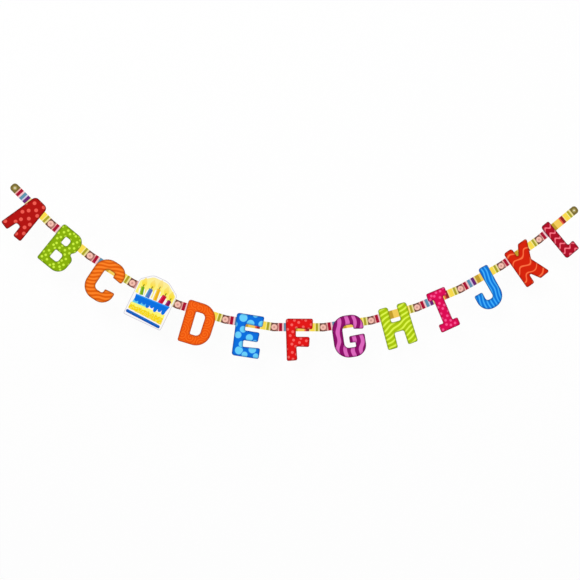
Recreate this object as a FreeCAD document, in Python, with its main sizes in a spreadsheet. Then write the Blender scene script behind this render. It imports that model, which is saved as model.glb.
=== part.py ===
import FreeCAD, Part
import math
import os
import Sketcher

os.makedirs("parts", exist_ok=True)
doc = FreeCAD.newDocument("LetterBanner")

# The banner hangs in a slack curve between two hooks. X runs to the right, Z is up, and the printed
# fronts face -Y. The origin is the hole that the left hook goes through.

# The strap of each card, and how the cards lie behind each other.
STRAP_PITCH = 160.0  # from hole to hole on one strap
STRAP_WIDTH = 27.0
STRAP_END_ROUND = 11.0  # corner radius of a strap end
CARD_THICKNESS = 0.5
LAYER_SLACK = 0.8  # free depth between two joined cards, so that they can fold past each other
HOOK_HOLE_RADIUS = 2.0  # hole at each end of the banner

# The letters all stand up from the strap to the same top line.
LETTER_HEIGHT = 138.0
LETTER_RISE = 28.0  # letter top above the middle of the strap
LETTER_STROKE = 34.0  # width of an upright
LETTER_ARM = 32.0  # height of a level arm
OUTER_ROUND = 6.0
INNER_ROUND = 4.0
WIDTH_A = 88.0
WIDTH_B = 98.0
WIDTH_C = 102.0
WIDTH_D = 101.0
WIDTH_E = 92.0
WIDTH_F = 90.0
WIDTH_G = 105.0
WIDTH_H = 104.0
WIDTH_I = 70.0
WIDTH_J = 92.0
WIDTH_K = 100.0
WIDTH_L = 60.0
CAKE_WIDTH = 131.0
CAKE_HEIGHT = 153.0
CAKE_DROP = 100.0  # foot of the cake card below the middle of the strap

# The rivets.
SHANK_RADIUS = 2.0
HEAD_RADIUS = 3.3
HEAD_THICKNESS = 0.4
HEAD_SLOPE = 0.4  # how far the edge of a head is cut back
RIVET_CLEARANCE = 0.05  # from the pin to the edge of the hole, all round
RIVET_PLAY = 0.05  # free depth behind the rear card

# The curve: the slope falls by an equal step from card to card, as it does in a hanging chain, and the
# whole is turned a little because the swivels hold the slack unevenly.
FIRST_SLOPE = 0.79  # fall over run of the first strap, before the turn
SLOPE_STEP = 0.1505  # how much less each next strap falls
WHOLE_TURN = 6.65  # degrees
CARDS = 13

sheet = doc.addObject("Spreadsheet::Sheet", "Sizes")
sheet.Label = "sizes"


class Size:
    """A length worked out from the sheet: its value now, and the same sum as text for an expression."""

    def __init__(self, value, text):
        self.value = value
        self.text = text

    def join(self, sign, other, value):
        return Size(value, "(" + self.text + " " + sign + " " + other.text + ")")

    def __add__(self, other):
        other = size(other)
        return self.join("+", other, self.value + other.value)

    def __sub__(self, other):
        other = size(other)
        return self.join("-", other, self.value - other.value)

    def __mul__(self, other):
        other = size(other)
        return self.join("*", other, self.value * other.value)

    def __truediv__(self, other):
        other = size(other)
        return self.join("/", other, self.value / other.value)

    def __neg__(self):
        return Size(-self.value, "(0 - " + self.text + ")")


def size(number):
    if isinstance(number, Size):
        return number
    return Size(float(number), str(number))


rows = []


def cell(name, content):
    """One named row of the sheet: a number or a sum."""
    rows.append(name)
    sheet.set("A" + str(len(rows)), name)
    sheet.set("B" + str(len(rows)), content)
    sheet.setAlias("B" + str(len(rows)), name)


def given(name, value):
    cell(name, str(value))
    return Size(float(value), "Sizes." + name)


pitch = given("strap_pitch", STRAP_PITCH)
strap = given("strap_width", STRAP_WIDTH)
strap_round = given("strap_end_round", STRAP_END_ROUND)
card = given("card_thickness", CARD_THICKNESS)
slack = given("layer_slack", LAYER_SLACK)
hook_hole = given("hook_hole_radius", HOOK_HOLE_RADIUS)
tall = given("letter_height", LETTER_HEIGHT)
rise = given("letter_rise", LETTER_RISE)
stroke = given("letter_stroke", LETTER_STROKE)
arm = given("letter_arm", LETTER_ARM)
outer = given("outer_round", OUTER_ROUND)
inner = given("inner_round", INNER_ROUND)
cake_tall = given("cake_height", CAKE_HEIGHT)
cake_drop = given("cake_drop", CAKE_DROP)
shank = given("shank_radius", SHANK_RADIUS)
head = given("head_radius", HEAD_RADIUS)
thick = given("head_thickness", HEAD_THICKNESS)
slope = given("head_slope", HEAD_SLOPE)
clearance = given("rivet_clearance", RIVET_CLEARANCE)
play = given("rivet_play", RIVET_PLAY)
punched = shank + clearance
given("first_slope", FIRST_SLOPE)
given("slope_step", SLOPE_STEP)
given("whole_turn", WHOLE_TURN)

# Where each card hangs: its left hole, its slope, and the depth of its back.
cell("pivot_x0", "0")
cell("pivot_z0", "0")
for n in range(1, CARDS + 1):
    now = str(n)
    before = str(n - 1)
    cell("slope" + now, "=atan(first_slope - slope_step * " + before + ") + whole_turn * 1deg")
    cell("pivot_x" + now, "=pivot_x" + before + " + strap_pitch * cos(slope" + now + ")")
    cell("pivot_z" + now, "=pivot_z" + before + " - strap_pitch * sin(slope" + now + ")")
    cell("layer" + now, "=(card_thickness + layer_slack) * " + before)
doc.recompute()


# Outlines of the cards: corners with a radius each, from the lower left corner of the letter and
# anticlockwise, and the counters cut out of it.
def outline_a(w, t):
    """Two legs that lean together under a broad top, and a notch between them."""
    return [
        (0, t * 0.03, outer),
        (w * 0.35, 0, outer),
        (w * 0.42, t * 0.26, outer),
        (w * 0.6, t * 0.26, outer),
        (w * 0.66, 0, outer),
        (w, t * 0.02, outer),
        (w * 0.8, t, outer * 2.5),
        (w * 0.2, t, outer * 2.5),
    ], []


def outline_b(w, t):
    """Two bows on one leaning upright, each with its own counter."""
    low = [
        (stroke, t * 0.2, inner),
        (w - stroke, t * 0.2, (w - stroke * 2) * 0.3),
        (w - stroke, t * 0.42, (w - stroke * 2) * 0.3),
        (stroke, t * 0.42, inner),
    ]
    high = [
        (stroke * 0.95, t * 0.61, inner),
        (w * 0.9 - stroke, t * 0.61, (w - stroke * 2) * 0.24),
        (w * 0.9 - stroke, t * 0.79, (w - stroke * 2) * 0.24),
        (stroke * 0.95, t * 0.79, inner),
    ]
    return [
        (w * 0.05, 0, outer),
        (w, 0, stroke),
        (w, t * 0.46, stroke * 0.5),
        (w * 0.8, t * 0.53, outer),
        (w * 0.91, t * 0.64, stroke * 0.4),
        (w * 0.91, t, stroke * 0.9),
        (0, t, outer * 1.5),
    ], [low, high]


def outline_c(w, t):
    """A round back, open to the right."""
    return [
        (0, 0, w * 0.46),
        (w, 0, t * 0.28),
        (w, arm + t * 0.14, outer),
        (w - stroke, arm + t * 0.11, inner),
        (w - stroke, arm, (w - stroke * 2) * 0.2),
        (stroke, arm, (w - stroke * 2) * 0.45),
        (stroke, t - arm, (w - stroke * 2) * 0.45),
        (w - stroke, t - arm, (w - stroke * 2) * 0.2),
        (w - stroke, t * 0.89 - arm, inner),
        (w, t * 0.86 - arm, outer),
        (w, t, t * 0.28),
        (0, t, w * 0.46),
    ], []


def outline_d(w, t):
    """One large bow on an upright."""
    counter = [
        (stroke * 1.05, arm, inner),
        (w - stroke, arm, (w - stroke * 2) * 0.45),
        (w - stroke, t - arm, (w - stroke * 2) * 0.45),
        (stroke, t - arm, inner),
    ]
    return [
        (w * 0.04, 0, outer),
        (w, 0, w * 0.49),
        (w, t, w * 0.49),
        (0, t, outer * 1.5),
    ], [counter]


def outline_e(w, t):
    """Three arms that flare a little."""
    return [
        (w * 0.04, 0, outer * 1.5),
        (w, 0, outer),
        (w, arm * 1.1, outer),
        (stroke * 1.05, arm, inner),
        (stroke, (t - arm) / 2, inner),
        (w * 0.88, (t - arm) / 2, outer),
        (w * 0.9, (t + arm) / 2, outer),
        (stroke, (t + arm) / 2, inner),
        (stroke, t - arm, inner),
        (w * 0.96, t - arm * 1.1, outer),
        (w * 0.98, t, outer),
        (0, t, outer * 1.5),
    ], []


def outline_f(w, t):
    """Two arms that flare a little."""
    return [
        (w * 0.05, 0, outer),
        (stroke * 1.15, t * 0.02, outer),
        (stroke * 1.05, t * 0.34, inner),
        (w * 0.86, t * 0.33, outer),
        (w * 0.88, t * 0.34 + arm, outer),
        (stroke, t * 0.34 + arm, inner),
        (stroke, t - arm, inner),
        (w * 0.98, t - arm * 1.1, outer),
        (w, t, outer),
        (0, t, outer * 1.5),
    ], []


def outline_g(w, t):
    """A round back, and a bar that turns in."""
    return [
        (0, 0, w * 0.46),
        (w, 0, t * 0.28),
        (w, t * 0.52, outer),
        (w * 0.5, t * 0.5, outer),
        (w * 0.5, t * 0.34, inner),
        (w - stroke, t * 0.34, inner / 2),
        (w - stroke, arm, inner),
        (stroke, arm, (w - stroke * 2) * 0.4),
        (stroke, t - arm, (w - stroke * 2) * 0.45),
        (w - stroke, t - arm, (w - stroke * 2) * 0.2),
        (w - stroke, t * 0.89 - arm, inner),
        (w, t * 0.86 - arm, outer),
        (w, t, t * 0.28),
        (0, t, w * 0.46),
    ], []


def outline_h(w, t):
    """Two uprights and a bar."""
    return [
        (0, 0, outer),
        (stroke, 0, outer),
        (stroke * 1.05, t * 0.36, inner * 1.5),
        (w - stroke * 1.05, t * 0.36, inner * 1.5),
        (w - stroke, 0, outer),
        (w, t * 0.02, outer),
        (w * 0.97, t, outer * 1.5),
        (w * 0.97 - stroke, t, outer * 1.5),
        (w - stroke * 1.05, t * 0.61, inner * 1.5),
        (stroke * 1.05, t * 0.61, inner * 1.5),
        (w * 0.03 + stroke, t, outer * 1.5),
        (w * 0.03, t, outer * 1.5),
    ], []


def outline_i(w, t):
    """One upright with a short bar at each end."""
    return [
        (0, 0, outer),
        (w, t * 0.01, outer),
        (w, arm * 0.9, outer),
        (w / 2 + stroke / 2, arm * 0.85, inner),
        (w / 2 + stroke / 2, t - arm * 0.85, inner),
        (w * 0.97, t - arm * 0.9, outer),
        (w, t, outer),
        (w * 0.02, t, outer),
        (0, t - arm * 0.9, outer),
        (w / 2 - stroke / 2, t - arm * 0.85, inner),
        (w / 2 - stroke / 2, arm * 0.85, inner),
        (0, arm * 0.9, outer),
    ], []


def outline_j(w, t):
    """An upright that ends in a round hook."""
    return [
        (0, 0, w * 0.45),
        (w, 0, w * 0.48),
        (w, t, outer),
        (w - stroke * 1.05, t, outer * 1.5),
        (w - stroke, arm, (w - stroke) * 0.17),
        (w * 0.33, arm, (w - stroke) * 0.17),
        (w * 0.34, t * 0.47, outer),
        (0, t * 0.47, outer),
    ], []


def outline_k(w, t):
    """An upright, and two arms that meet at its middle."""
    return [
        (w * 0.02, 0, outer),
        (stroke, 0, outer),
        (stroke, t * 0.29, inner),
        (w * 0.6, 0, outer),
        (w, t * 0.02, outer),
        (w * 0.7, t * 0.52, inner * 2),
        (w * 0.97, t, outer),
        (w * 0.6, t, outer * 1.5),
        (stroke, t * 0.69, inner),
        (stroke, t, outer * 1.5),
        (0, t, outer * 1.5),
    ], []


def outline_l(w, t):
    """An upright and a flared foot."""
    return [
        (w * 0.04, 0, outer * 1.5),
        (w, 0, outer),
        (w, arm * 1.1, outer),
        (stroke * 1.05, arm, inner * 1.5),
        (stroke, t, outer),
        (0, t, outer * 1.5),
    ], []


def outline_cake(w, t):
    """The card of the cake picture: straight sides under a low dome."""
    side = t * 0.81
    return [
        (0, 0, outer),
        (w, 0, outer),
        (w, side, outer * 2),
        (w * 0.66, t, w * 0.3),
        (w * 0.27, t, w * 0.25),
        (0, side, outer * 2),
    ], []


def plane(body, role):
    for feature in body.Origin.OriginFeatures:
        if feature.Role == role:
            return feature
    raise RuntimeError("no plane " + role)


def sketch_on(body, name, role):
    sketch = body.newObject("Sketcher::SketchObject", name)
    sketch.AttachmentSupport = [(plane(body, role), "")]
    sketch.MapMode = "FlatFace"
    sketch.Visibility = False
    return sketch


def pin(sketch, kind, where, length):
    """Fixes one coordinate of a point, or a radius, to a size from the sheet."""
    index = sketch.addConstraint(Sketcher.Constraint(kind, *where, length.value))
    sketch.setExpression("Constraints[" + str(index) + "]", length.text)


def corner_arc(before, here, after, radius):
    """The arc that rounds a corner: centre, start and end on the two sides, and if it turns left."""
    back = (before - here).normalize()
    on = (after - here).normalize()
    half = back.getAngle(on) / 2
    centre = here + (back + on).normalize() * (radius / math.sin(half))
    reach = radius / math.tan(half)
    return centre, here + back * reach, here + on * reach, back.cross(on).z < 0


def loop(sketch, corners):
    """A closed outline of straight sides, with each corner rounded: (across, up, radius) for each."""
    corners = [(size(x), size(y), size(radius)) for x, y, radius in corners]
    count = len(corners)
    spots = [FreeCAD.Vector(x.value, y.value, 0) for x, y, radius in corners]
    arcs = []
    for i in range(count):
        arcs.append(corner_arc(spots[i - 1], spots[i], spots[(i + 1) % count], corners[i][2].value))
    base = sketch.GeometryCount
    for i in range(count):
        sketch.addGeometry(Part.LineSegment(arcs[i][2], arcs[(i + 1) % count][1]), False)
    for i in range(count):
        centre, start, end, left = arcs[i]
        low = start - centre if left else end - centre
        high = end - centre if left else start - centre
        circle = Part.Circle(centre, FreeCAD.Vector(0, 0, 1), corners[i][2].value)
        turn = (math.atan2(low.y, low.x), math.atan2(high.y, high.x))
        sketch.addGeometry(Part.ArcOfCircle(circle, *turn), False)
    for spot in spots:
        sketch.addGeometry(Part.Point(spot), True)
    for i in range(count):
        side_in = base + (i - 1) % count
        side_out = base + i
        arc = base + count + i
        spot = base + 2 * count + i
        first_end = 1 if arcs[i][3] else 2
        last_end = 2 if arcs[i][3] else 1
        sketch.addConstraint(Sketcher.Constraint("Tangent", side_in, 2, arc, first_end))
        sketch.addConstraint(Sketcher.Constraint("Tangent", arc, last_end, side_out, 1))
        sketch.addConstraint(Sketcher.Constraint("PointOnObject", spot, 1, side_in))
        sketch.addConstraint(Sketcher.Constraint("PointOnObject", spot, 1, side_out))
        across, up, radius = corners[i]
        pin(sketch, "DistanceX", (-1, 1, spot, 1), across)
        pin(sketch, "DistanceY", (-1, 1, spot, 1), up)
        pin(sketch, "Radius", (arc,), radius)


def sharp_loop(sketch, corners):
    """A closed outline with plain corners: (across, up) for each."""
    corners = [(size(x), size(y)) for x, y in corners]
    spots = [FreeCAD.Vector(x.value, y.value, 0) for x, y in corners]
    for i in range(len(corners)):
        sketch.addGeometry(Part.LineSegment(spots[i - 1], spots[i]), False)
    for i in range(len(corners)):
        sketch.addConstraint(Sketcher.Constraint("Coincident", i, 2, (i + 1) % len(corners), 1))
        pin(sketch, "DistanceX", (-1, 1, i, 2), corners[i][0])
        pin(sketch, "DistanceY", (-1, 1, i, 2), corners[i][1])


def ring(sketch, along, radius):
    """A round hole on the middle line of the strap."""
    centre = FreeCAD.Vector(along.value, 0, 0)
    index = sketch.addGeometry(Part.Circle(centre, FreeCAD.Vector(0, 0, 1), radius.value), False)
    pin(sketch, "DistanceX", (-1, 1, index, 3), along)
    sketch.addConstraint(Sketcher.Constraint("PointOnObject", index, 3, -1))
    pin(sketch, "Radius", (index,), radius)


def pad(body, sketch, name):
    feature = body.newObject("PartDesign::Pad", name)
    feature.Profile = sketch
    feature.Length = card.value
    feature.setExpression("Length", card.text)
    body.Tip = feature


# Each card is one sheet: its strap, and the letter or picture that the strap runs through, with the
# counters and the two holes punched out.
made = []


def card_body(number, name, label, outline, wide, high, top, shift):
    body = doc.addObject("PartDesign::Body", name)
    body.Label = label
    half = strap / 2
    strap_sketch = sketch_on(body, name + "Strap", "XZ_Plane")
    ends = [(-half, -half), (pitch + half, -half), (pitch + half, half), (-half, half)]
    loop(strap_sketch, [(x, y, strap_round) for x, y in ends])
    pad(body, strap_sketch, name + "StrapPad")

    shape, counters = outline(wide, high)
    left = pitch / 2 - wide / 2 + shift
    foot = top - high
    shape_sketch = sketch_on(body, name + "Shape", "XZ_Plane")
    loop(shape_sketch, [(left + x, foot + y, radius) for x, y, radius in shape])
    pad(body, shape_sketch, name + "ShapePad")

    cuts = sketch_on(body, name + "Cuts", "XZ_Plane")
    ring(cuts, size(0), hook_hole if number == 1 else punched)
    ring(cuts, pitch, hook_hole if number == CARDS else punched)
    for counter in counters:
        loop(cuts, [(left + x, foot + y, radius) for x, y, radius in counter])
    pocket = body.newObject("PartDesign::Pocket", name + "Punch")
    pocket.Profile = cuts
    pocket.Type = "ThroughAll"
    pocket.Reversed = True
    body.Tip = pocket

    upright = FreeCAD.Rotation(FreeCAD.Vector(0, 1, 0), 10)
    body.Placement = FreeCAD.Placement(FreeCAD.Vector(0, 0, 0), upright)
    body.setExpression("Placement.Base.x", "Sizes.pivot_x" + str(number - 1))
    body.setExpression("Placement.Base.y", "Sizes.layer" + str(number))
    body.setExpression("Placement.Base.z", "Sizes.pivot_z" + str(number - 1))
    body.setExpression("Placement.Rotation.Angle", "Sizes.slope" + str(number))
    made.append(body)


# The row from left to right: the mark, its outline, its width, and how far it stands off the middle.
row = [
    ("a", outline_a, WIDTH_A, 11),
    ("b", outline_b, WIDTH_B, 0),
    ("c", outline_c, WIDTH_C, 2),
    ("cake", outline_cake, CAKE_WIDTH, 1.5),
    ("d", outline_d, WIDTH_D, 0),
    ("e", outline_e, WIDTH_E, 0),
    ("f", outline_f, WIDTH_F, 2),
    ("g", outline_g, WIDTH_G, 0),
    ("h", outline_h, WIDTH_H, 0),
    ("i", outline_i, WIDTH_I, -2),
    ("j", outline_j, WIDTH_J, -6),
    ("k", outline_k, WIDTH_K, 0),
    ("l", outline_l, WIDTH_L, -18),
]
for number, (mark, outline, width, shift) in enumerate(row, 1):
    wide = given("width_" + mark, width)
    name = "Card" + str(number)
    if mark == "cake":
        card_body(number, name, "card_cake", outline, wide, cake_tall, cake_tall - cake_drop, shift)
    else:
        card_body(number, name, "card_letter" + mark, outline, wide, tall, rise, shift)

# Each rivet is a short pin with a flat head at both ends. It sits on the front of one card, goes through
# the next one behind it, and leaves that card free to turn.
back = card * 2 + slack + play
profile = [
    (0, -thick),
    (head - slope, -thick),
    (head, -thick / 2),
    (head, 0),
    (shank, 0),
    (shank, back),
    (head * 0.9, back),
    (head * 0.9, back + thick / 2),
    (head * 0.9 - slope, back + thick),
    (0, back + thick),
]
for n in range(1, CARDS):
    name = "Rivet" + str(n)
    body = doc.addObject("PartDesign::Body", name)
    body.Label = "rivet_" + str(n).zfill(2)
    half_section = sketch_on(body, name + "Section", "XY_Plane")
    sharp_loop(half_section, profile)
    turned = body.newObject("PartDesign::Revolution", name + "Pin")
    turned.Profile = half_section
    turned.ReferenceAxis = (half_section, ["V_Axis"])
    turned.Angle = 360
    body.Tip = turned
    body.setExpression("Placement.Base.x", "Sizes.pivot_x" + str(n))
    body.setExpression("Placement.Base.y", "Sizes.layer" + str(n) + " - Sizes.card_thickness")
    body.setExpression("Placement.Base.z", "Sizes.pivot_z" + str(n))
    made.append(body)

doc.recompute()
for thing in doc.Objects:
    if "Invalid" in thing.State or "Error" in thing.State:
        raise RuntimeError(thing.Name + " did not work out")
for body in made:
    shape = body.Shape
    if shape.isNull() or not shape.isValid() or len(shape.Solids) != 1:
        raise RuntimeError(body.Label + " is not one sound solid")
    shape.exportStep("parts/" + body.Label + ".step")
    print(body.Label, round(shape.Volume, 1), "mm3")
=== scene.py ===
import math

import bmesh
import bpy
import numpy as np
from mathutils import Matrix, Vector
from mathutils.geometry import delaunay_2d_cdt


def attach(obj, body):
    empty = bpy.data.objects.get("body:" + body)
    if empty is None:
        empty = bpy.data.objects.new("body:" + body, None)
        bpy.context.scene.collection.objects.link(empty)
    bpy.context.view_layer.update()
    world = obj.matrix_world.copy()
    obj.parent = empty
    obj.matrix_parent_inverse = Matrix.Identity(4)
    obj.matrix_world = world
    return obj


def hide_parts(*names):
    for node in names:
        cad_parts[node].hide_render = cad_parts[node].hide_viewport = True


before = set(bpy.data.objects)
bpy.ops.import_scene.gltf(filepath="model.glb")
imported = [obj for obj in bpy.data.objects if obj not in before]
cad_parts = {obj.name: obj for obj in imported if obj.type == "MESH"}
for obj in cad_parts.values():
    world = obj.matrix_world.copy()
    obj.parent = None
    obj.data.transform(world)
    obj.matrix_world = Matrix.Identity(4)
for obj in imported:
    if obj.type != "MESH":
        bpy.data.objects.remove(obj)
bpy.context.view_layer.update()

scene = bpy.context.scene
scene.view_settings.view_transform = "Standard"

# The row of cards. The banner is thirteen sheets of card, 0.5 mm thick, each die-cut in one piece with
# the strap that it hangs by. The straps are joined end to end by rivets, so the row hangs in a curve:
# the slope falls by an equal step from card to card, and each card lies a little behind the last.
MM = 0.001
CARDS = 13
PITCH = 160
STRAP = 27
STRAP_ROUND = 11
CARD = 0.5
LAYER = 1.3
PUNCHED = 2.05
HOOK_HOLE = 2.0
FIRST_SLOPE = 0.79
SLOPE_STEP = 0.1505
WHOLE_TURN = math.radians(6.65)
# The fine net inside a letter: its spacing, and its gap from an outline, in mm like the sizes above.
NET = 2.6
CLEAR = 1.1
ARC_STEP = math.radians(9)
HOLE_SIDES = 24
UV_UNIT = 100


def hang():
    """Where each card hangs: its left hole in mm, and its slope."""
    across = 0.0
    up = 0.0
    places = []
    for number in range(CARDS):
        slope = math.atan(FIRST_SLOPE - SLOPE_STEP * number) + WHOLE_TURN
        places.append((across, up, slope))
        across += PITCH * math.cos(slope)
        up -= PITCH * math.sin(slope)
    return places


places = hang()


def rounded(corners, shift=(0, 0)):
    """An outline as a list of points, from its corners in order anticlockwise, each (x, y, radius)."""
    points = []
    spots = [Vector((x + shift[0], y + shift[1])) for x, y, radius in corners]
    for i, here in enumerate(spots):
        back = (spots[i - 1] - here).normalized()
        on = (spots[(i + 1) % len(spots)] - here).normalized()
        half = back.angle(on) / 2
        radius = corners[i][2]
        centre = here + (back + on).normalized() * (radius / math.sin(half))
        start = here + back * (radius / math.tan(half)) - centre
        left = back.cross(on) < 0
        sweep = (math.pi - 2 * half) * (1 if left else -1)
        count = max(2, math.ceil(abs(sweep) / ARC_STEP))
        for n in range(count + 1):
            angle = sweep * n / count
            turned = Vector((
                start.x * math.cos(angle) - start.y * math.sin(angle),
                start.x * math.sin(angle) + start.y * math.cos(angle),
            ))
            points.append(tuple(centre + turned))
    return points


def ring(x, y, radius):
    """The outline of a punched hole."""
    turn = 2 * math.pi / HOLE_SIDES
    return [(x + radius * math.cos(turn * n), y + radius * math.sin(turn * n)) for n in range(HOLE_SIDES)]


def stepped(points, step):
    """The same closed outline, with more points where a side is long."""
    more = []
    for here, there in zip(points, points[1:] + points[:1]):
        count = max(1, math.ceil(math.dist(here, there) / step))
        for n in range(count):
            part = n / count
            more.append((here[0] + (there[0] - here[0]) * part, here[1] + (there[1] - here[1]) * part))
    return more


strap_half = STRAP / 2
strap_corners = [
    (-strap_half, -strap_half, STRAP_ROUND),
    (PITCH + strap_half, -strap_half, STRAP_ROUND),
    (PITCH + strap_half, strap_half, STRAP_ROUND),
    (-strap_half, strap_half, STRAP_ROUND),
]
strap_outline = stepped(rounded(strap_corners), NET)


def sides(loops):
    """Start and end points of all the sides of some closed outlines."""
    starts = np.concatenate([np.array(points) for points in loops])
    ends = np.concatenate([np.roll(np.array(points), -1, axis=0) for points in loops])
    return starts, ends


def inside(points, loops):
    """Which points lie inside the outlines, counting holes as outside."""
    starts, ends = sides(loops)
    x = points[:, 0:1]
    y = points[:, 1:2]
    crosses = (starts[:, 1] > y) != (ends[:, 1] > y)
    climb = np.where(ends[:, 1] == starts[:, 1], 1.0, ends[:, 1] - starts[:, 1])
    meets = starts[:, 0] + (y - starts[:, 1]) / climb * (ends[:, 0] - starts[:, 0])
    return (crosses & (x < meets)).sum(axis=1) % 2 == 1


def depth(points, loops):
    """How far each point is from the nearest outline."""
    starts, ends = sides(loops)
    along = ends - starts
    square = np.maximum((along ** 2).sum(axis=1), 1e-12)
    best = np.full(len(points), 1e9)
    for start, run, length in zip(starts, along, square):
        part = np.clip(((points - start) @ run) / length, 0, 1)
        gap = points - start - part[:, None] * run
        best = np.minimum(best, np.hypot(gap[:, 0], gap[:, 1]))
    return best


def lay_flat(letter, cuts, coloured):
    """A card laid flat, as points and triangles, with a fine net inside the letter for the print."""
    loops = [letter[0], strap_outline] + cuts + coloured
    low = np.array(letter[0]).min(axis=0)
    high = np.array(letter[0]).max(axis=0)
    columns, rows = np.meshgrid(np.arange(low[0], high[0], NET), np.arange(low[1], high[1], NET))
    columns[1::2] += NET / 2
    net = np.column_stack([columns.ravel(), rows.ravel()])
    net = net[inside(net, letter)]
    net = net[depth(net, loops) > CLEAR]

    corners = []
    edges = []
    for points in loops:
        first = len(corners)
        corners += points
        edges += [(first + i, first + (i + 1) % len(points)) for i in range(len(points))]
    corners += [tuple(point) for point in net]
    laid = delaunay_2d_cdt([Vector(corner) for corner in corners], edges, [], 0, 1e-4)
    flat = np.array([tuple(point) for point in laid[0]])
    faces = np.array(laid[2])
    middles = flat[faces].mean(axis=1)
    keep = inside(middles, [letter[0]]) | inside(middles, [strap_outline])
    for cut in cuts:
        keep &= ~inside(middles, [cut])
    used, faces = np.unique(faces[keep], return_inverse=True)
    return flat[used], faces.reshape(-1, 3)


def hang_card(number, label, outline, width, height, top, off, front, fields=()):
    """Cuts one card, prints its front, and hangs it in the row. fields are (outline, colour)."""
    shape, holes = outline(width, height)
    shift = (PITCH / 2 - width / 2 + off, top - height)
    letter = [rounded(shape, shift)] + [rounded(hole, shift) for hole in holes]
    left_hole = HOOK_HOLE if number == 0 else PUNCHED
    right_hole = HOOK_HOLE if number == CARDS - 1 else PUNCHED
    cuts = letter[1:] + [ring(0, 0, left_hole), ring(PITCH, 0, right_hole)]
    flat, faces = lay_flat(letter, cuts, [points for points, paint in fields])
    from_edge = depth(flat, letter) * np.where(inside(flat, letter), 1.0, -1.0)
    middles = flat[faces].mean(axis=1)
    paints = np.tile(BARE_CARD, (len(faces), 1))
    for points, paint in fields:
        paints[inside(middles, [points])] = paint

    sheet = bmesh.new()
    place = sheet.loops.layers.uv.new("flat")
    edge = sheet.verts.layers.float.new("edge_depth")
    ink = sheet.loops.layers.float_color.new("fields")
    spots = []
    for (x, z), far in zip(flat.tolist(), from_edge.tolist()):
        spot = sheet.verts.new((x * MM, 0, z * MM))
        spot[edge] = far
        spots.append(spot)
    for corners, paint in zip(faces.tolist(), paints.tolist()):
        face = sheet.faces.new([spots[i] for i in corners])
        for loop, i in zip(face.loops, corners):
            loop[place].uv = flat[i] / UV_UNIT
            loop[ink] = paint

    grown = bmesh.ops.extrude_face_region(sheet, geom=sheet.faces[:])
    back = [part for part in grown["geom"] if isinstance(part, bmesh.types.BMVert)]
    bmesh.ops.translate(sheet, vec=(0, CARD * MM, 0), verts=back)
    bmesh.ops.recalc_face_normals(sheet, faces=sheet.faces[:])
    for face in sheet.faces:
        face.material_index = 0 if face.normal.y < -0.5 else 1
    across, up, slope = places[number]
    bmesh.ops.rotate(sheet, cent=(0, 0, 0), matrix=Matrix.Rotation(slope, 3, "Y"), verts=sheet.verts[:])
    hook = Vector((across, LAYER * number - CARD, up)) * MM
    bmesh.ops.translate(sheet, vec=hook, verts=sheet.verts[:])

    mesh = bpy.data.meshes.new("sheet_" + label)
    sheet.to_mesh(mesh)
    sheet.free()
    mesh.materials.append(front)
    mesh.materials.append(white_card.material)
    piece = bpy.data.objects.new("sheet_" + label, mesh)
    bpy.context.collection.objects.link(piece)
    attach(piece, "card_" + str(number + 1).zfill(2))
    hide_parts("card_" + label)


# The print on the cards. The fronts are printed in bright inks with a dull varnish; the backs and the cut
# edges are bare white card. An ink knows its flat place on the card, in units of 100 mm, and how far in
# mm it is from the edge of the letter, where the print gets darker and ends in a thin rim.
def colour(red, green, blue):
    """A colour as it is printed, 0 to 255, made linear."""
    def linear(value):
        value /= 255
        return value / 12.92 if value <= 0.04045 else ((value + 0.055) / 1.055) ** 2.4
    return (linear(red), linear(green), linear(blue), 1.0)


BARE_CARD = colour(250, 249, 250)


class Ink:
    """A printed finish on card: its material, and short ways to add and join its nodes."""

    def __init__(self, name, roughness=0.75):
        self.material = bpy.data.materials.new(name)
        self.material.use_nodes = True
        self.tree = self.material.node_tree
        self.shader = self.tree.nodes["Principled BSDF"]
        self.shader.inputs["Roughness"].default_value = roughness
        self.shader.inputs["Specular IOR Level"].default_value = 0.08
        uv = self.add("ShaderNodeUVMap")
        uv.uv_map = "flat"
        self.flat = uv.outputs[0]
        split = self.add("ShaderNodeSeparateXYZ")
        self.link(self.flat, split.inputs[0])
        self.across = split.outputs[0]
        self.up = split.outputs[1]
        edge = self.add("ShaderNodeAttribute")
        edge.attribute_name = "edge_depth"
        self.edge = edge.outputs["Fac"]

    def add(self, kind):
        return self.tree.nodes.new(kind)

    def link(self, source, target):
        if hasattr(source, "is_output"):
            self.tree.links.new(source, target)
        else:
            target.default_value = source

    def sum(self, kind, a, b=0.0):
        node = self.add("ShaderNodeMath")
        node.operation = kind
        self.link(a, node.inputs[0])
        self.link(b, node.inputs[1])
        return node.outputs[0]

    def ramp(self, value, low, high, start=0.0, end=1.0):
        """A soft step from start to end, as the value goes from low to high."""
        node = self.add("ShaderNodeMapRange")
        node.interpolation_type = "SMOOTHSTEP"
        self.link(value, node.inputs["Value"])
        for name, number in (("From Min", low), ("From Max", high), ("To Min", start), ("To Max", end)):
            self.link(number, node.inputs[name])
        return node.outputs["Result"]

    def mix(self, factor, a, b):
        node = self.add("ShaderNodeMix")
        node.data_type = "RGBA"
        self.link(factor, node.inputs[0])
        self.link(a, node.inputs[6])
        self.link(b, node.inputs[7])
        return node.outputs[2]

    def noise(self, scale, shift):
        node = self.add("ShaderNodeTexNoise")
        place = self.add("ShaderNodeMapping")
        place.inputs["Location"].default_value = (shift, shift * 0.7, shift * 0.3)
        self.link(self.flat, place.inputs[0])
        self.link(place.outputs[0], node.inputs["Vector"])
        node.inputs["Scale"].default_value = scale
        node.inputs["Detail"].default_value = 1.0
        return node.outputs["Fac"]


white_card = Ink("white_card", 0.8)
white_card.link(colour(236, 234, 230), white_card.shader.inputs["Base Color"])

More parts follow.
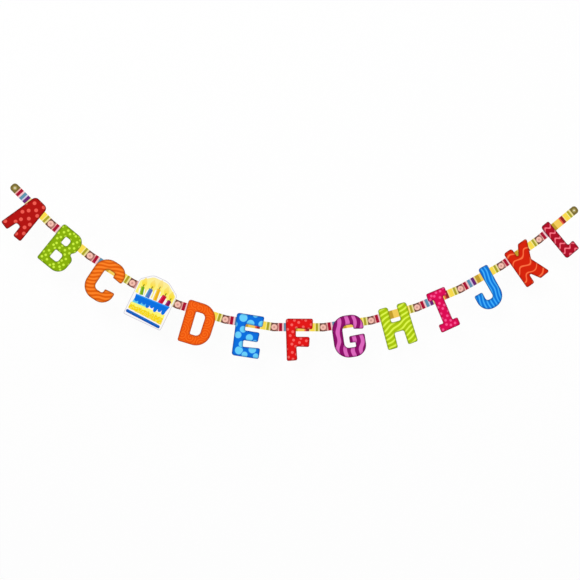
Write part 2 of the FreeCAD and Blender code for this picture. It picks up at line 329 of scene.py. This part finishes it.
# The squares at the ends of a strap are brown, with a rose edge, and olive at the ends of the banner.
BROWN = (112, 70, 58)
ROSE_BROWN = (180, 118, 112)
OLIVE = (122, 106, 50)
# The pale disc round each hole: its colour and its radius in mm, at a joint and at the banner's ends.
JOINT_PALE = (246, 192, 176)
JOINT_DISC = 9.5
END_PALE = (176, 162, 96)
END_DISC = 6.5
DISC_BLUR = 1
# Where each stripe of the strap begins, in mm from the left hole, and its colour.
STRIPES = [
    (11.5, (238, 176, 168)), (15.5, (168, 8, 48)), (26, (246, 196, 200)), (31, (92, 146, 172)),
    (41, (208, 196, 226)), (46, (104, 34, 116)), (57, (240, 215, 150)), (62, (196, 158, 44)),
    (76, (245, 205, 90)), (98, (236, 96, 66)), (104, (152, 34, 34)), (114, (250, 226, 140)),
    (118, (250, 220, 76)), (132, (250, 238, 150)), (135, (172, 164, 34)), (143, (236, 222, 150)),
]
STRAP_LOW = -20
STRAP_HIGH = 180
LAST_SQUARE = 148
LAST_EDGE = 167


def strap_print(ink, first=False, last=False):
    """The stripes, a brown or olive square at each end, and a pale disc round each hole."""
    stripes = ink.add("ShaderNodeValToRGB")
    ramp = stripes.color_ramp
    ramp.interpolation = "CONSTANT"
    bands = [(STRAP_LOW, OLIVE if first else BROWN)] + STRIPES + [(LAST_SQUARE, OLIVE if last else BROWN)]
    bands.append((LAST_EDGE, OLIVE if last else ROSE_BROWN))
    while len(ramp.elements) < len(bands):
        ramp.elements.new(0.5)
    length = STRAP_HIGH - STRAP_LOW
    for element, (start, paint) in zip(ramp.elements, bands):
        element.position = (start - STRAP_LOW) / length
        element.color = colour(*paint)
    from_low = ink.sum("SUBTRACT", ink.across, STRAP_LOW / UV_UNIT)
    ink.link(ink.sum("DIVIDE", from_low, length / UV_UNIT), stripes.inputs[0])
    paint = stripes.outputs[0]
    for hole, outermost in ((0.0, first), (PITCH / UV_UNIT, last)):
        over = ink.sum("SUBTRACT", ink.across, hole)
        square = ink.sum("ADD", ink.sum("POWER", over, 2.0), ink.sum("POWER", ink.up, 2.0))
        pale = colour(*(END_PALE if outermost else JOINT_PALE))
        disc = END_DISC if outermost else JOINT_DISC
        low = (disc - DISC_BLUR) / UV_UNIT
        high = (disc + DISC_BLUR) / UV_UNIT
        paint = ink.mix(ink.ramp(ink.sum("SQRT", square), low, high, 1.0, 0.0), paint, pale)
    return paint


# The dark edge of a letter and its thin rim: where each fades, in mm from the edge, and how strong it is.
SHADE_FADE = (1.0, 9.0)
SHADE = 0.4
DARK = 0.35
RIM_FADE = (1.2, 2.6)
RIM = 0.85


def letter_print(ink, pattern, base, second, rim, first=False, last=False):
    """A printed front: the strap, and over it the letter with its pattern, dark edge and rim."""
    paint = ink.mix(pattern, colour(*base), colour(*second))
    dark = tuple(channel * DARK for channel in colour(*base)[:3]) + (1.0,)
    paint = ink.mix(ink.ramp(ink.edge, *SHADE_FADE, SHADE, 0.0), paint, dark)
    paint = ink.mix(ink.ramp(ink.edge, *RIM_FADE, RIM, 0.0), paint, colour(*rim))
    on_letter = ink.sum("GREATER_THAN", ink.edge, 0.0)
    paint = ink.mix(on_letter, strap_print(ink, first, last), paint)
    ink.link(paint, ink.shader.inputs["Base Color"])
    return ink.material


# The letter A, first on the left: red card with loose pale dots. Its strap ends in an olive tab with a
# plain hole, by which the banner hangs. Each letter is cut with soft corners, 138 mm high, and stands
# 28 mm above the middle of its strap.
tall = 138
rise = 28
stroke = 34
arm = 32
outer = 6
inner = 4


def outline_a(w, t):
    """Legs that lean together under a narrow round top, and a notch between them."""
    return [
        (0, t * 0.03, outer),
        (w * 0.35, 0, outer),
        (w * 0.42, t * 0.26, outer),
        (w * 0.6, t * 0.26, outer),
        (w * 0.66, 0, outer),
        (w, t * 0.02, outer),
        (w * 0.8, t, outer * 2.5),
        (w * 0.2, t, outer * 2.5),
    ], []


DOTS_TURN = 0.6
DOT_BLUR = 0.03


def dots(ink, spacing, radius, spread=0.0, loose=0.35, shift=0.0):
    """Round dots; spread makes some of them larger than others."""
    node = ink.add("ShaderNodeTexVoronoi")
    node.voronoi_dimensions = "2D"
    place = ink.add("ShaderNodeMapping")
    place.inputs["Location"].default_value = (shift, shift * 0.6, 0)
    place.inputs["Rotation"].default_value = (0, 0, DOTS_TURN)
    ink.link(ink.flat, place.inputs[0])
    ink.link(place.outputs[0], node.inputs["Vector"])
    node.inputs["Scale"].default_value = UV_UNIT / spacing
    node.inputs["Randomness"].default_value = loose
    tint = ink.add("ShaderNodeSeparateColor")
    ink.link(node.outputs["Color"], tint.inputs[0])
    size = ink.sum("ADD", ink.sum("MULTIPLY", tint.outputs[0], spread / spacing), radius / spacing)
    gap = ink.sum("SUBTRACT", node.outputs["Distance"], size)
    return ink.ramp(gap, -DOT_BLUR, DOT_BLUR, 1.0, 0.0)


ink = Ink("print_lettera")
pattern = dots(ink, 24, 5.8, loose=0.45)
front = letter_print(ink, pattern, (178, 12, 8), (240, 92, 80), (84, 4, 12), first=True)
hang_card(0, "lettera", outline_a, 88, tall, rise, 11, front)

# The letter B: yellow-green card with small light dots. Both counters are cut out.
# The strap meets it at its upper bow.
def outline_b(w, t):
    """Two bows on one leaning upright, each with its own counter."""
    low = [
        (stroke, t * 0.2, inner),
        (w - stroke, t * 0.2, (w - stroke * 2) * 0.3),
        (w - stroke, t * 0.42, (w - stroke * 2) * 0.3),
        (stroke, t * 0.42, inner),
    ]
    high = [
        (stroke * 0.95, t * 0.61, inner),
        (w * 0.9 - stroke, t * 0.61, (w - stroke * 2) * 0.24),
        (w * 0.9 - stroke, t * 0.79, (w - stroke * 2) * 0.24),
        (stroke * 0.95, t * 0.79, inner),
    ]
    return [
        (w * 0.05, 0, outer),
        (w, 0, stroke),
        (w, t * 0.46, stroke * 0.5),
        (w * 0.8, t * 0.53, outer),
        (w * 0.91, t * 0.64, stroke * 0.4),
        (w * 0.91, t, stroke * 0.9),
        (0, t, outer * 1.5),
    ], [low, high]


ink = Ink("print_letterb")
pattern = dots(ink, 15, 3.9, loose=0.5)
front = letter_print(ink, pattern, (136, 176, 0), (206, 242, 66), (100, 124, 10))
hang_card(1, "letterb", outline_b, 98, tall, rise, 0, front)

# The letter C: orange card, with wavy stripes in two oranges that rise a little to the right.
# The strap is seen across its mouth.
def outline_c(w, t):
    """A round back, open to the right."""
    return [
        (0, 0, w * 0.46),
        (w, 0, t * 0.28),
        (w, arm + t * 0.14, outer),
        (w - stroke, arm + t * 0.11, inner),
        (w - stroke, arm, (w - stroke * 2) * 0.2),
        (stroke, arm, (w - stroke * 2) * 0.45),
        (stroke, t - arm, (w - stroke * 2) * 0.45),
        (w - stroke, t - arm, (w - stroke * 2) * 0.2),
        (w - stroke, t * 0.89 - arm, inner),
        (w, t * 0.86 - arm, outer),
        (w, t, t * 0.28),
        (0, t, w * 0.46),
    ], []


def lines(ink, angle, period, sway=0.0, sway_period=60.0, wobble=0.0, shift=0.0):
    """A sine across a set of waving lines; sizes in mm, angle from level in degrees."""
    turn = math.radians(angle)
    along = ink.sum("ADD", ink.sum("MULTIPLY", ink.across, UV_UNIT * math.cos(turn)),
                    ink.sum("MULTIPLY", ink.up, UV_UNIT * math.sin(turn)))
    over = ink.sum("SUBTRACT", ink.sum("MULTIPLY", ink.up, UV_UNIT * math.cos(turn)),
                   ink.sum("MULTIPLY", ink.across, UV_UNIT * math.sin(turn)))
    bend = ink.sum("SINE", ink.sum("MULTIPLY", along, 2 * math.pi / sway_period))
    over = ink.sum("ADD", over, ink.sum("MULTIPLY", bend, sway))
    drift = ink.sum("SUBTRACT", ink.noise(2.2, 3 + shift), 0.5)
    over = ink.sum("ADD", over, ink.sum("MULTIPLY", drift, wobble))
    return ink.sum("SINE", ink.sum("ADD", ink.sum("MULTIPLY", over, 2 * math.pi / period), shift))


ink = Ink("print_letterc")
pattern = ink.ramp(lines(ink, 26, 12, 1.6, 52, 9.0), -0.3, 0.3)
front = letter_print(ink, pattern, (228, 96, 0), (255, 132, 36), (140, 66, 8))
hang_card(2, "letterc", outline_c, 102, tall, rise, 2, front)

# The cake card: a white card with straight sides under a low dome, 153 mm high. Its picture is printed
# in flat fields of colour: a yellow cake with blue icing on a blue board, and five lit candles.
cake_tall = 153
cake_drop = 100


def outline_cake(w, t):
    """The card of the cake picture: straight sides under a low dome."""
    side = t * 0.81
    return [
        (0, 0, outer),
        (w, 0, outer),
        (w, side, outer * 2),
        (w * 0.66, t, w * 0.3),
        (w * 0.27, t, w * 0.25),
        (0, side, outer * 2),
    ], []


def bar(low, high, wide, radius=0.0, flare=1.0):
    """A straight band between two points, with rounded corners; flare widens its far end."""
    start = Vector(low)
    end = Vector(high)
    run = (end - start).normalized()
    side = Vector((-run.y, run.x)) * wide / 2
    corners = [start + side, start - side, end - side * flare, end + side * flare]
    if radius:
        return rounded([(spot.x, spot.y, radius) for spot in corners])
    return [tuple(spot) for spot in corners]


DRIP_STEPS = 12
DRIP_BLUNT = 0.42


def drips(top, low, depths):
    """Icing: a straight top from left to right, and a lower edge that hangs in blunt drops."""
    points = [top[1], top[0]]
    start = Vector(low[0])
    run = Vector(low[1]) - start
    for n, drop in enumerate(depths):
        for i in range(DRIP_STEPS + 1):
            along = start + run * ((n + i / DRIP_STEPS) / len(depths))
            hang_down = drop * abs(math.sin(math.pi * i / DRIP_STEPS)) ** DRIP_BLUNT
            points.append((along.x, along.y - hang_down))
    return points


def drop_shape(x, y, wide, high, lean):
    """A flame: a drop with its point upwards."""
    points = []
    for i in range(20):
        angle = 2 * math.pi * i / 20
        squeeze = 1 - 0.6 * max(0, math.sin(angle))
        over = wide / 2 * math.cos(angle) * squeeze
        climb = high / 2 * math.sin(angle)
        points.append((x + over - lean * climb, y + climb))
    return points


cake_fields = []


def field(points, *paint):
    """A flat field of colour on the cake's picture; a later one covers an earlier one."""
    cake_fields.append((points, colour(*paint)))


# The glow of the flames reaches up to the dome, and bare card is left round the candles and the cake.
# A candle is its foot, its tip, its width, its colour and that of its lit side.
candles = [
    ((41.5, -22), (35.5, 4), 12, (112, 168, 20), (176, 206, 60)),
    ((62, -22), (62.5, 9), 14, (84, 112, 190), (60, 160, 200)),
    ((88, -20), (85, 19), 13, (236, 178, 18), (255, 214, 70)),
    ((107, -24), (111, 8), 16, (196, 6, 50), (232, 40, 90)),
    ((130, -24), (132, 0), 14, (128, 16, 78), (176, 50, 120)),
]
bare = (250, 249, 250)
glow = [(20, -22, 3), (143, -22, 3), (143, 19, 9), (104, 47, 26), (54, 47, 24), (20, 20, 9)]
field(rounded(glow), 255, 243, 118)
field(bar((24, -33), (144, -22), 22, 4), *bare)
for foot, tip, wide, wax, lit in candles:
    field(bar(foot, (tip[0], tip[1] - 6), wide + 7, 4), *bare)
for foot, tip, wide, wax, lit in candles:
    field(drop_shape(tip[0] - 1, tip[1] + 16, 17, 30, 0.12), 252, 224, 60)
for foot, tip, wide, wax, lit in candles:
    field(bar(foot, tip, wide, 1.5, 0.9), *wax)
    field(bar((foot[0] - wide * 0.28, foot[1]), (tip[0] - wide * 0.28, tip[1] - 2), wide * 0.2), *lit)
    field(bar(tip, (tip[0] + 0.8, tip[1] + 9), 3), 112, 124, 20)
field(drips([(27, -40), (70, -42)], [(25, -57), (72, -58)], [4, 7, 5, 8]), 104, 208, 236)
field(drips([(22, -55), (138, -49)], [(22, -76), (140, -81)], [1.5] * 6), 248, 216, 14)
field(drips([(24, -54), (138, -48)], [(23, -58), (139, -57)], [4, 6, 3, 5, 4, 6, 3, 5, 4]), 255, 250, 120)
field(drips([(26, -25), (141, -18)], [(28, -43), (136, -38)], [5, 9, 6, 12, 7, 15, 9, 13]), 0, 112, 226)
field(bar((26, -27), (141, -20), 4, 1.5), 40, 150, 245)
field(bar((20, -86), (140, -91), 10, 4.5), 10, 84, 180)
field(bar((24, -84.4), (136, -89.2), 2, 0.8), 30, 120, 210)

ink = Ink("print_cake")
fields = ink.add("ShaderNodeAttribute")
fields.attribute_name = "fields"
channels = ink.add("ShaderNodeSeparateColor")
ink.link(fields.outputs["Color"], channels.inputs[0])
# Yellow is a field with much red and hardly any blue. The specks are only on the cake's own yellow, low
# on the card.
red = channels.outputs[0]
blue = channels.outputs[2]
yellow = ink.sum("MULTIPLY", ink.sum("GREATER_THAN", red, 0.8), ink.sum("LESS_THAN", blue, 0.02))
on_cake = ink.sum("MULTIPLY", yellow, ink.sum("LESS_THAN", ink.up, -0.5))
speck = ink.sum("MULTIPLY", dots(ink, 5.5, 1.2, loose=1.0), on_cake)
paint = ink.mix(ink.sum("MULTIPLY", speck, 0.7), fields.outputs["Color"], colour(255, 248, 150))
near_dome = ink.sum("MULTIPLY", ink.ramp(ink.up, 0.1, 0.48), 0.55)
warm = ink.sum("MULTIPLY", ink.sum("LESS_THAN", blue, 0.5), near_dome)
paint = ink.mix(warm, paint, colour(252, 232, 176))
paint = ink.mix(ink.ramp(ink.edge, 1.2, 2.4, 1.0, 0.0), paint, colour(206, 202, 212))
paint = ink.mix(ink.sum("GREATER_THAN", ink.edge, 0.0), strap_print(ink), paint)
ink.link(paint, ink.shader.inputs["Base Color"])
hang_card(3, "cake", outline_cake, 131, cake_tall, cake_tall - cake_drop, 1.5, ink.material, cake_fields)

# The letter D: orange card with faint printed spirals. Its large counter is cut out, and shows the strap.
# The bow is one wide round.
def outline_d(w, t):
    """One large bow on an upright."""
    counter = [
        (stroke * 1.05, arm, inner),
        (w - stroke, arm, (w - stroke * 2) * 0.45),
        (w - stroke, t - arm, (w - stroke * 2) * 0.45),
        (stroke, t - arm, inner),
    ]
    return [
        (w * 0.04, 0, outer),
        (w, 0, w * 0.49),
        (w, t, w * 0.49),
        (0, t, outer * 1.5),
    ], [counter]


SWIRL_BLUR = 0.35


def swirls(ink, spacing, pitch):
    """Spirals, one round each point of a loose net."""
    node = ink.add("ShaderNodeTexVoronoi")
    node.voronoi_dimensions = "2D"
    ink.link(ink.flat, node.inputs["Vector"])
    node.inputs["Scale"].default_value = UV_UNIT / spacing
    node.inputs["Randomness"].default_value = 0.6
    away = ink.add("ShaderNodeVectorMath")
    away.operation = "SUBTRACT"
    ink.link(ink.flat, away.inputs[0])
    ink.link(node.outputs["Position"], away.inputs[1])
    split = ink.add("ShaderNodeSeparateXYZ")
    ink.link(away.outputs[0], split.inputs[0])
    angle = ink.sum("ARCTAN2", split.outputs[1], split.outputs[0])
    far = ink.sum("MULTIPLY", node.outputs["Distance"], spacing / pitch * 2 * math.pi)
    return ink.ramp(ink.sum("SINE", ink.sum("ADD", angle, far)), -SWIRL_BLUR, SWIRL_BLUR)


ink = Ink("print_letterd")
front = letter_print(ink, swirls(ink, 34, 8), (240, 84, 0), (252, 108, 22), (170, 56, 4))
hang_card(4, "letterd", outline_d, 101, tall, rise, 0, front)

# The letter E: blue card with large and small light blue dots.
# The strap is seen between its upper arms.
def outline_e(w, t):
    """Three arms that flare a little."""
    return [
        (w * 0.04, 0, outer * 1.5),
        (w, 0, outer),
        (w, arm * 1.1, outer),
        (stroke * 1.05, arm, inner),
        (stroke, (t - arm) / 2, inner),
        (w * 0.88, (t - arm) / 2, outer),
        (w * 0.9, (t + arm) / 2, outer),
        (stroke, (t + arm) / 2, inner),
        (stroke, t - arm, inner),
        (w * 0.96, t - arm * 1.1, outer),
        (w * 0.98, t, outer),
        (0, t, outer * 1.5),
    ], []


ink = Ink("print_lettere")
pattern = dots(ink, 31, 6.5, 6.5, 0.55, 0.4)
front = letter_print(ink, pattern, (0, 112, 226), (108, 212, 255), (6, 62, 150))
hang_card(5, "lettere", outline_e, 92, tall, rise, 0, front)

# The letter F: bright red card with small pink dots.
# It hangs almost level, at the lowest part of the curve.
def outline_f(w, t):
    """Two arms that flare a little."""
    return [
        (w * 0.05, 0, outer),
        (stroke * 1.15, t * 0.02, outer),
        (stroke * 1.05, t * 0.34, inner),
        (w * 0.86, t * 0.33, outer),
        (w * 0.88, t * 0.34 + arm, outer),
        (stroke, t * 0.34 + arm, inner),
        (stroke, t - arm, inner),
        (w * 0.98, t - arm * 1.1, outer),
        (w, t, outer),
        (0, t, outer * 1.5),
    ], []


ink = Ink("print_letterf")
pattern = dots(ink, 18, 4.4, loose=0.4)
front = letter_print(ink, pattern, (230, 18, 18), (255, 104, 100), (140, 8, 14))
hang_card(6, "letterf", outline_f, 90, tall, rise, 2, front)

# The letter G: purple card with broad wavy stripes in pink, which run upwards.
# Its bar turns in to the middle.
def outline_g(w, t):
    """A round back, and a bar that turns in."""
    return [
        (0, 0, w * 0.46),
        (w, 0, t * 0.28),
        (w, t * 0.52, outer),
        (w * 0.5, t * 0.5, outer),
        (w * 0.5, t * 0.34, inner),
        (w - stroke, t * 0.34, inner / 2),
        (w - stroke, arm, inner),
        (stroke, arm, (w - stroke * 2) * 0.4),
        (stroke, t - arm, (w - stroke * 2) * 0.45),
        (w - stroke, t - arm, (w - stroke * 2) * 0.2),
        (w - stroke, t * 0.89 - arm, inner),
        (w, t * 0.86 - arm, outer),
        (w, t, t * 0.28),
        (0, t, w * 0.46),
    ], []


ink = Ink("print_letterg")
pattern = ink.ramp(lines(ink, 82, 26, 3.6, 60, 10.0, 1.0), -0.12, 0.12)
front = letter_print(ink, pattern, (142, 6, 106), (226, 106, 192), (84, 6, 66))
hang_card(7, "letterg", outline_g, 105, tall, rise, 0, front)

# The letter H: lime card with thin light lines that rise to the right.
# The strap is seen between its uprights, above the bar.
def outline_h(w, t):
    """Two uprights and a bar."""
    return [
        (0, 0, outer),
        (stroke, 0, outer),
        (stroke * 1.05, t * 0.36, inner * 1.5),
        (w - stroke * 1.05, t * 0.36, inner * 1.5),
        (w - stroke, 0, outer),
        (w, t * 0.02, outer),
        (w * 0.97, t, outer * 1.5),
        (w * 0.97 - stroke, t, outer * 1.5),
        (w - stroke * 1.05, t * 0.61, inner * 1.5),
        (stroke * 1.05, t * 0.61, inner * 1.5),
        (w * 0.03 + stroke, t, outer * 1.5),
        (w * 0.03, t, outer * 1.5),
    ], []


ink = Ink("print_letterh")
pattern = ink.ramp(lines(ink, 24, 14.5, 1.5, 50, 7.0), 0.1, 0.6)
front = letter_print(ink, pattern, (172, 202, 0), (226, 250, 76), (112, 136, 6))
hang_card(8, "letterh", outline_h, 104, tall, rise, 0, front)

# The letter I: pink card with small light dots, and a short bar at each end.
# It is narrow, so more of its strap is seen.
def outline_i(w, t):
    """One upright with a short bar at each end."""
    return [
        (0, 0, outer),
        (w, t * 0.01, outer),
        (w, arm * 0.9, outer),
        (w / 2 + stroke / 2, arm * 0.85, inner),
        (w / 2 + stroke / 2, t - arm * 0.85, inner),
        (w * 0.97, t - arm * 0.9, outer),
        (w, t, outer),
        (w * 0.02, t, outer),
        (0, t - arm * 0.9, outer),
        (w / 2 - stroke / 2, t - arm * 0.85, inner),
        (w / 2 - stroke / 2, arm * 0.85, inner),
        (0, arm * 0.9, outer),
    ], []


ink = Ink("print_letteri")
pattern = dots(ink, 17, 4.2, loose=0.5, shift=0.7)
front = letter_print(ink, pattern, (224, 0, 84), (255, 82, 148), (132, 0, 56))
hang_card(9, "letteri", outline_i, 70, tall, rise, -2, front)

# The letter J: blue card with thin light lines along its upright.
# It ends in a round hook.
def outline_j(w, t):
    """An upright that ends in a round hook."""
    return [
        (0, 0, w * 0.45),
        (w, 0, w * 0.48),
        (w, t, outer),
        (w - stroke * 1.05, t, outer * 1.5),
        (w - stroke, arm, (w - stroke) * 0.17),
        (w * 0.33, arm, (w - stroke) * 0.17),
        (w * 0.34, t * 0.47, outer),
        (0, t * 0.47, outer),
    ], []


ink = Ink("print_letterj")
pattern = ink.ramp(lines(ink, 84, 12, 1.4, 60, 7.0), 0.1, 0.6)
front = letter_print(ink, pattern, (0, 118, 222), (66, 178, 255), (4, 66, 140))
hang_card(10, "letterj", outline_j, 92, tall, rise, -6, front)

# The letter K: orange-red card with a few thin wandering lines.
# Its arms meet at the middle of the upright.
def outline_k(w, t):
    """An upright, and two arms that meet at its middle."""
    return [
        (w * 0.02, 0, outer),
        (stroke, 0, outer),
        (stroke, t * 0.29, inner),
        (w * 0.6, 0, outer),
        (w, t * 0.02, outer),
        (w * 0.7, t * 0.52, inner * 2),
        (w * 0.97, t, outer),
        (w * 0.6, t, outer * 1.5),
        (stroke, t * 0.69, inner),
        (stroke, t, outer * 1.5),
        (0, t, outer * 1.5),
    ], []


ink = Ink("print_letterk")
pattern = ink.ramp(lines(ink, 14, 29, 7, 56, 20.0, 2.0), 0.78, 0.94)
front = letter_print(ink, pattern, (216, 32, 0), (255, 112, 64), (120, 26, 4))
hang_card(11, "letterk", outline_k, 100, tall, rise, 0, front)

# The letter L, last on the right: crimson card with pink zigzags. Its strap ends in the other olive tab,
# with the second hanging hole.
def outline_l(w, t):
    """An upright and a flared foot."""
    return [
        (w * 0.04, 0, outer * 1.5),
        (w, 0, outer),
        (w, arm * 1.1, outer),
        (stroke * 1.05, arm, inner * 1.5),
        (stroke, t, outer),
        (0, t, outer * 1.5),
    ], []


ink = Ink("print_letterl")
pattern = ink.ramp(lines(ink, 6, 24, 5, 25, 5.0), 0.62, 0.85)
front = letter_print(ink, pattern, (176, 6, 36), (255, 116, 136), (100, 2, 20), last=True)
hang_card(12, "letterl", outline_l, 60, tall, rise, -18, front)

# The rivets: a pin of painted metal with a low head at each end, one through the two holes at every
# joint, where the cards swivel. They are kept as they are in the frame.
rivet = bpy.data.materials.new("rose_rivet")
rivet.use_nodes = True
surface = rivet.node_tree.nodes["Principled BSDF"]
surface.inputs["Base Color"].default_value = colour(206, 150, 138)
surface.inputs["Metallic"].default_value = 0.3
surface.inputs["Roughness"].default_value = 0.5
for name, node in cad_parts.items():
    if name.startswith("rivet"):
        for slot in node.material_slots:
            slot.material = rivet

# The wall behind the banner: plain white, 90 mm back. It shows white to the camera, keeps a trace of the
# banner's shadow, and is clear from behind.
WALL_BACK = 0.09
WALL_HALF = 7
SELF_WHITE = 0.93
sheet = bmesh.new()
bmesh.ops.create_grid(sheet, x_segments=1, y_segments=1, size=WALL_HALF)
bmesh.ops.rotate(sheet, cent=(0, 0, 0), matrix=Matrix.Rotation(math.pi / 2, 3, "X"), verts=sheet.verts[:])
bmesh.ops.translate(sheet, vec=(1, WALL_BACK, 0), verts=sheet.verts[:])
wall_mesh = bpy.data.meshes.new("wall")
sheet.to_mesh(wall_mesh)
sheet.free()
wall = bpy.data.objects.new("wall", wall_mesh)
bpy.context.collection.objects.link(wall)
wall_white = bpy.data.materials.new("wall_white")
wall_white.use_nodes = True
tree = wall_white.node_tree
for node in list(tree.nodes):
    tree.nodes.remove(node)
matt = tree.nodes.new("ShaderNodeBsdfDiffuse")
matt.inputs["Color"].default_value = (0.9, 0.9, 0.9, 1)
shine = tree.nodes.new("ShaderNodeEmission")
shine.inputs["Color"].default_value = (1, 1, 1, 1)
clear = tree.nodes.new("ShaderNodeBsdfTransparent")
ray = tree.nodes.new("ShaderNodeLightPath")
side = tree.nodes.new("ShaderNodeNewGeometry")
seen = tree.nodes.new("ShaderNodeMath")
seen.operation = "MAXIMUM"
tree.links.new(ray.outputs["Is Camera Ray"], seen.inputs[0])
tree.links.new(ray.outputs["Is Glossy Ray"], seen.inputs[1])
share = tree.nodes.new("ShaderNodeMath")
share.operation = "MULTIPLY"
share.inputs[1].default_value = SELF_WHITE
tree.links.new(seen.outputs[0], share.inputs[0])
facing = tree.nodes.new("ShaderNodeMixShader")
tree.links.new(share.outputs[0], facing.inputs[0])
tree.links.new(matt.outputs[0], facing.inputs[1])
tree.links.new(shine.outputs[0], facing.inputs[2])
both = tree.nodes.new("ShaderNodeMixShader")
tree.links.new(side.outputs["Backfacing"], both.inputs[0])
tree.links.new(facing.outputs[0], both.inputs[1])
tree.links.new(clear.outputs[0], both.inputs[2])
output = tree.nodes.new("ShaderNodeOutputMaterial")
tree.links.new(both.outputs[0], output.inputs[0])
wall_mesh.materials.append(wall_white)

# Light: an even white room, and a broad soft lamp on each side in front.
world = bpy.data.worlds.new("room")
scene.world = world
world.use_nodes = True
room = world.node_tree
background = room.nodes["Background"]
path = room.nodes.new("ShaderNodeLightPath")
level = room.nodes.new("ShaderNodeMapRange")
level.inputs["To Min"].default_value = 0.52
level.inputs["To Max"].default_value = 1.0
room.links.new(path.outputs["Is Camera Ray"], level.inputs["Value"])
room.links.new(level.outputs["Result"], background.inputs["Strength"])
background.inputs["Color"].default_value = (1, 1, 1, 1)


def lamp(name, place, aim, size, power):
    """A square soft lamp, turned towards the banner."""
    data = bpy.data.lights.new(name, "AREA")
    data.shape = "SQUARE"
    data.size = size
    data.energy = power
    thing = bpy.data.objects.new(name, data)
    thing.location = place
    thing.rotation_euler = (Vector(aim) - Vector(place)).to_track_quat("-Z", "Y").to_euler()
    bpy.context.collection.objects.link(thing)


lamp("key_lamp", (-0.6, -3.2, 1.6), (0.9, 0, -0.3), 2.2, 66)
lamp("fill_lamp", (2.9, -3.0, 0.6), (0.9, 0, -0.3), 2.6, 34)

# The camera stands a little to the left of the middle and looks slightly up.
lens = bpy.data.cameras.new("camera")
lens.lens = 50
camera = bpy.data.objects.new("camera", lens)
camera.location = (0.6651, -2.6039, -0.4718)
looked_at = Vector((0.8782, 0, -0.321))
camera.rotation_euler = (looked_at - camera.location).to_track_quat("-Z", "Y").to_euler()
bpy.context.collection.objects.link(camera)
scene.camera = camera
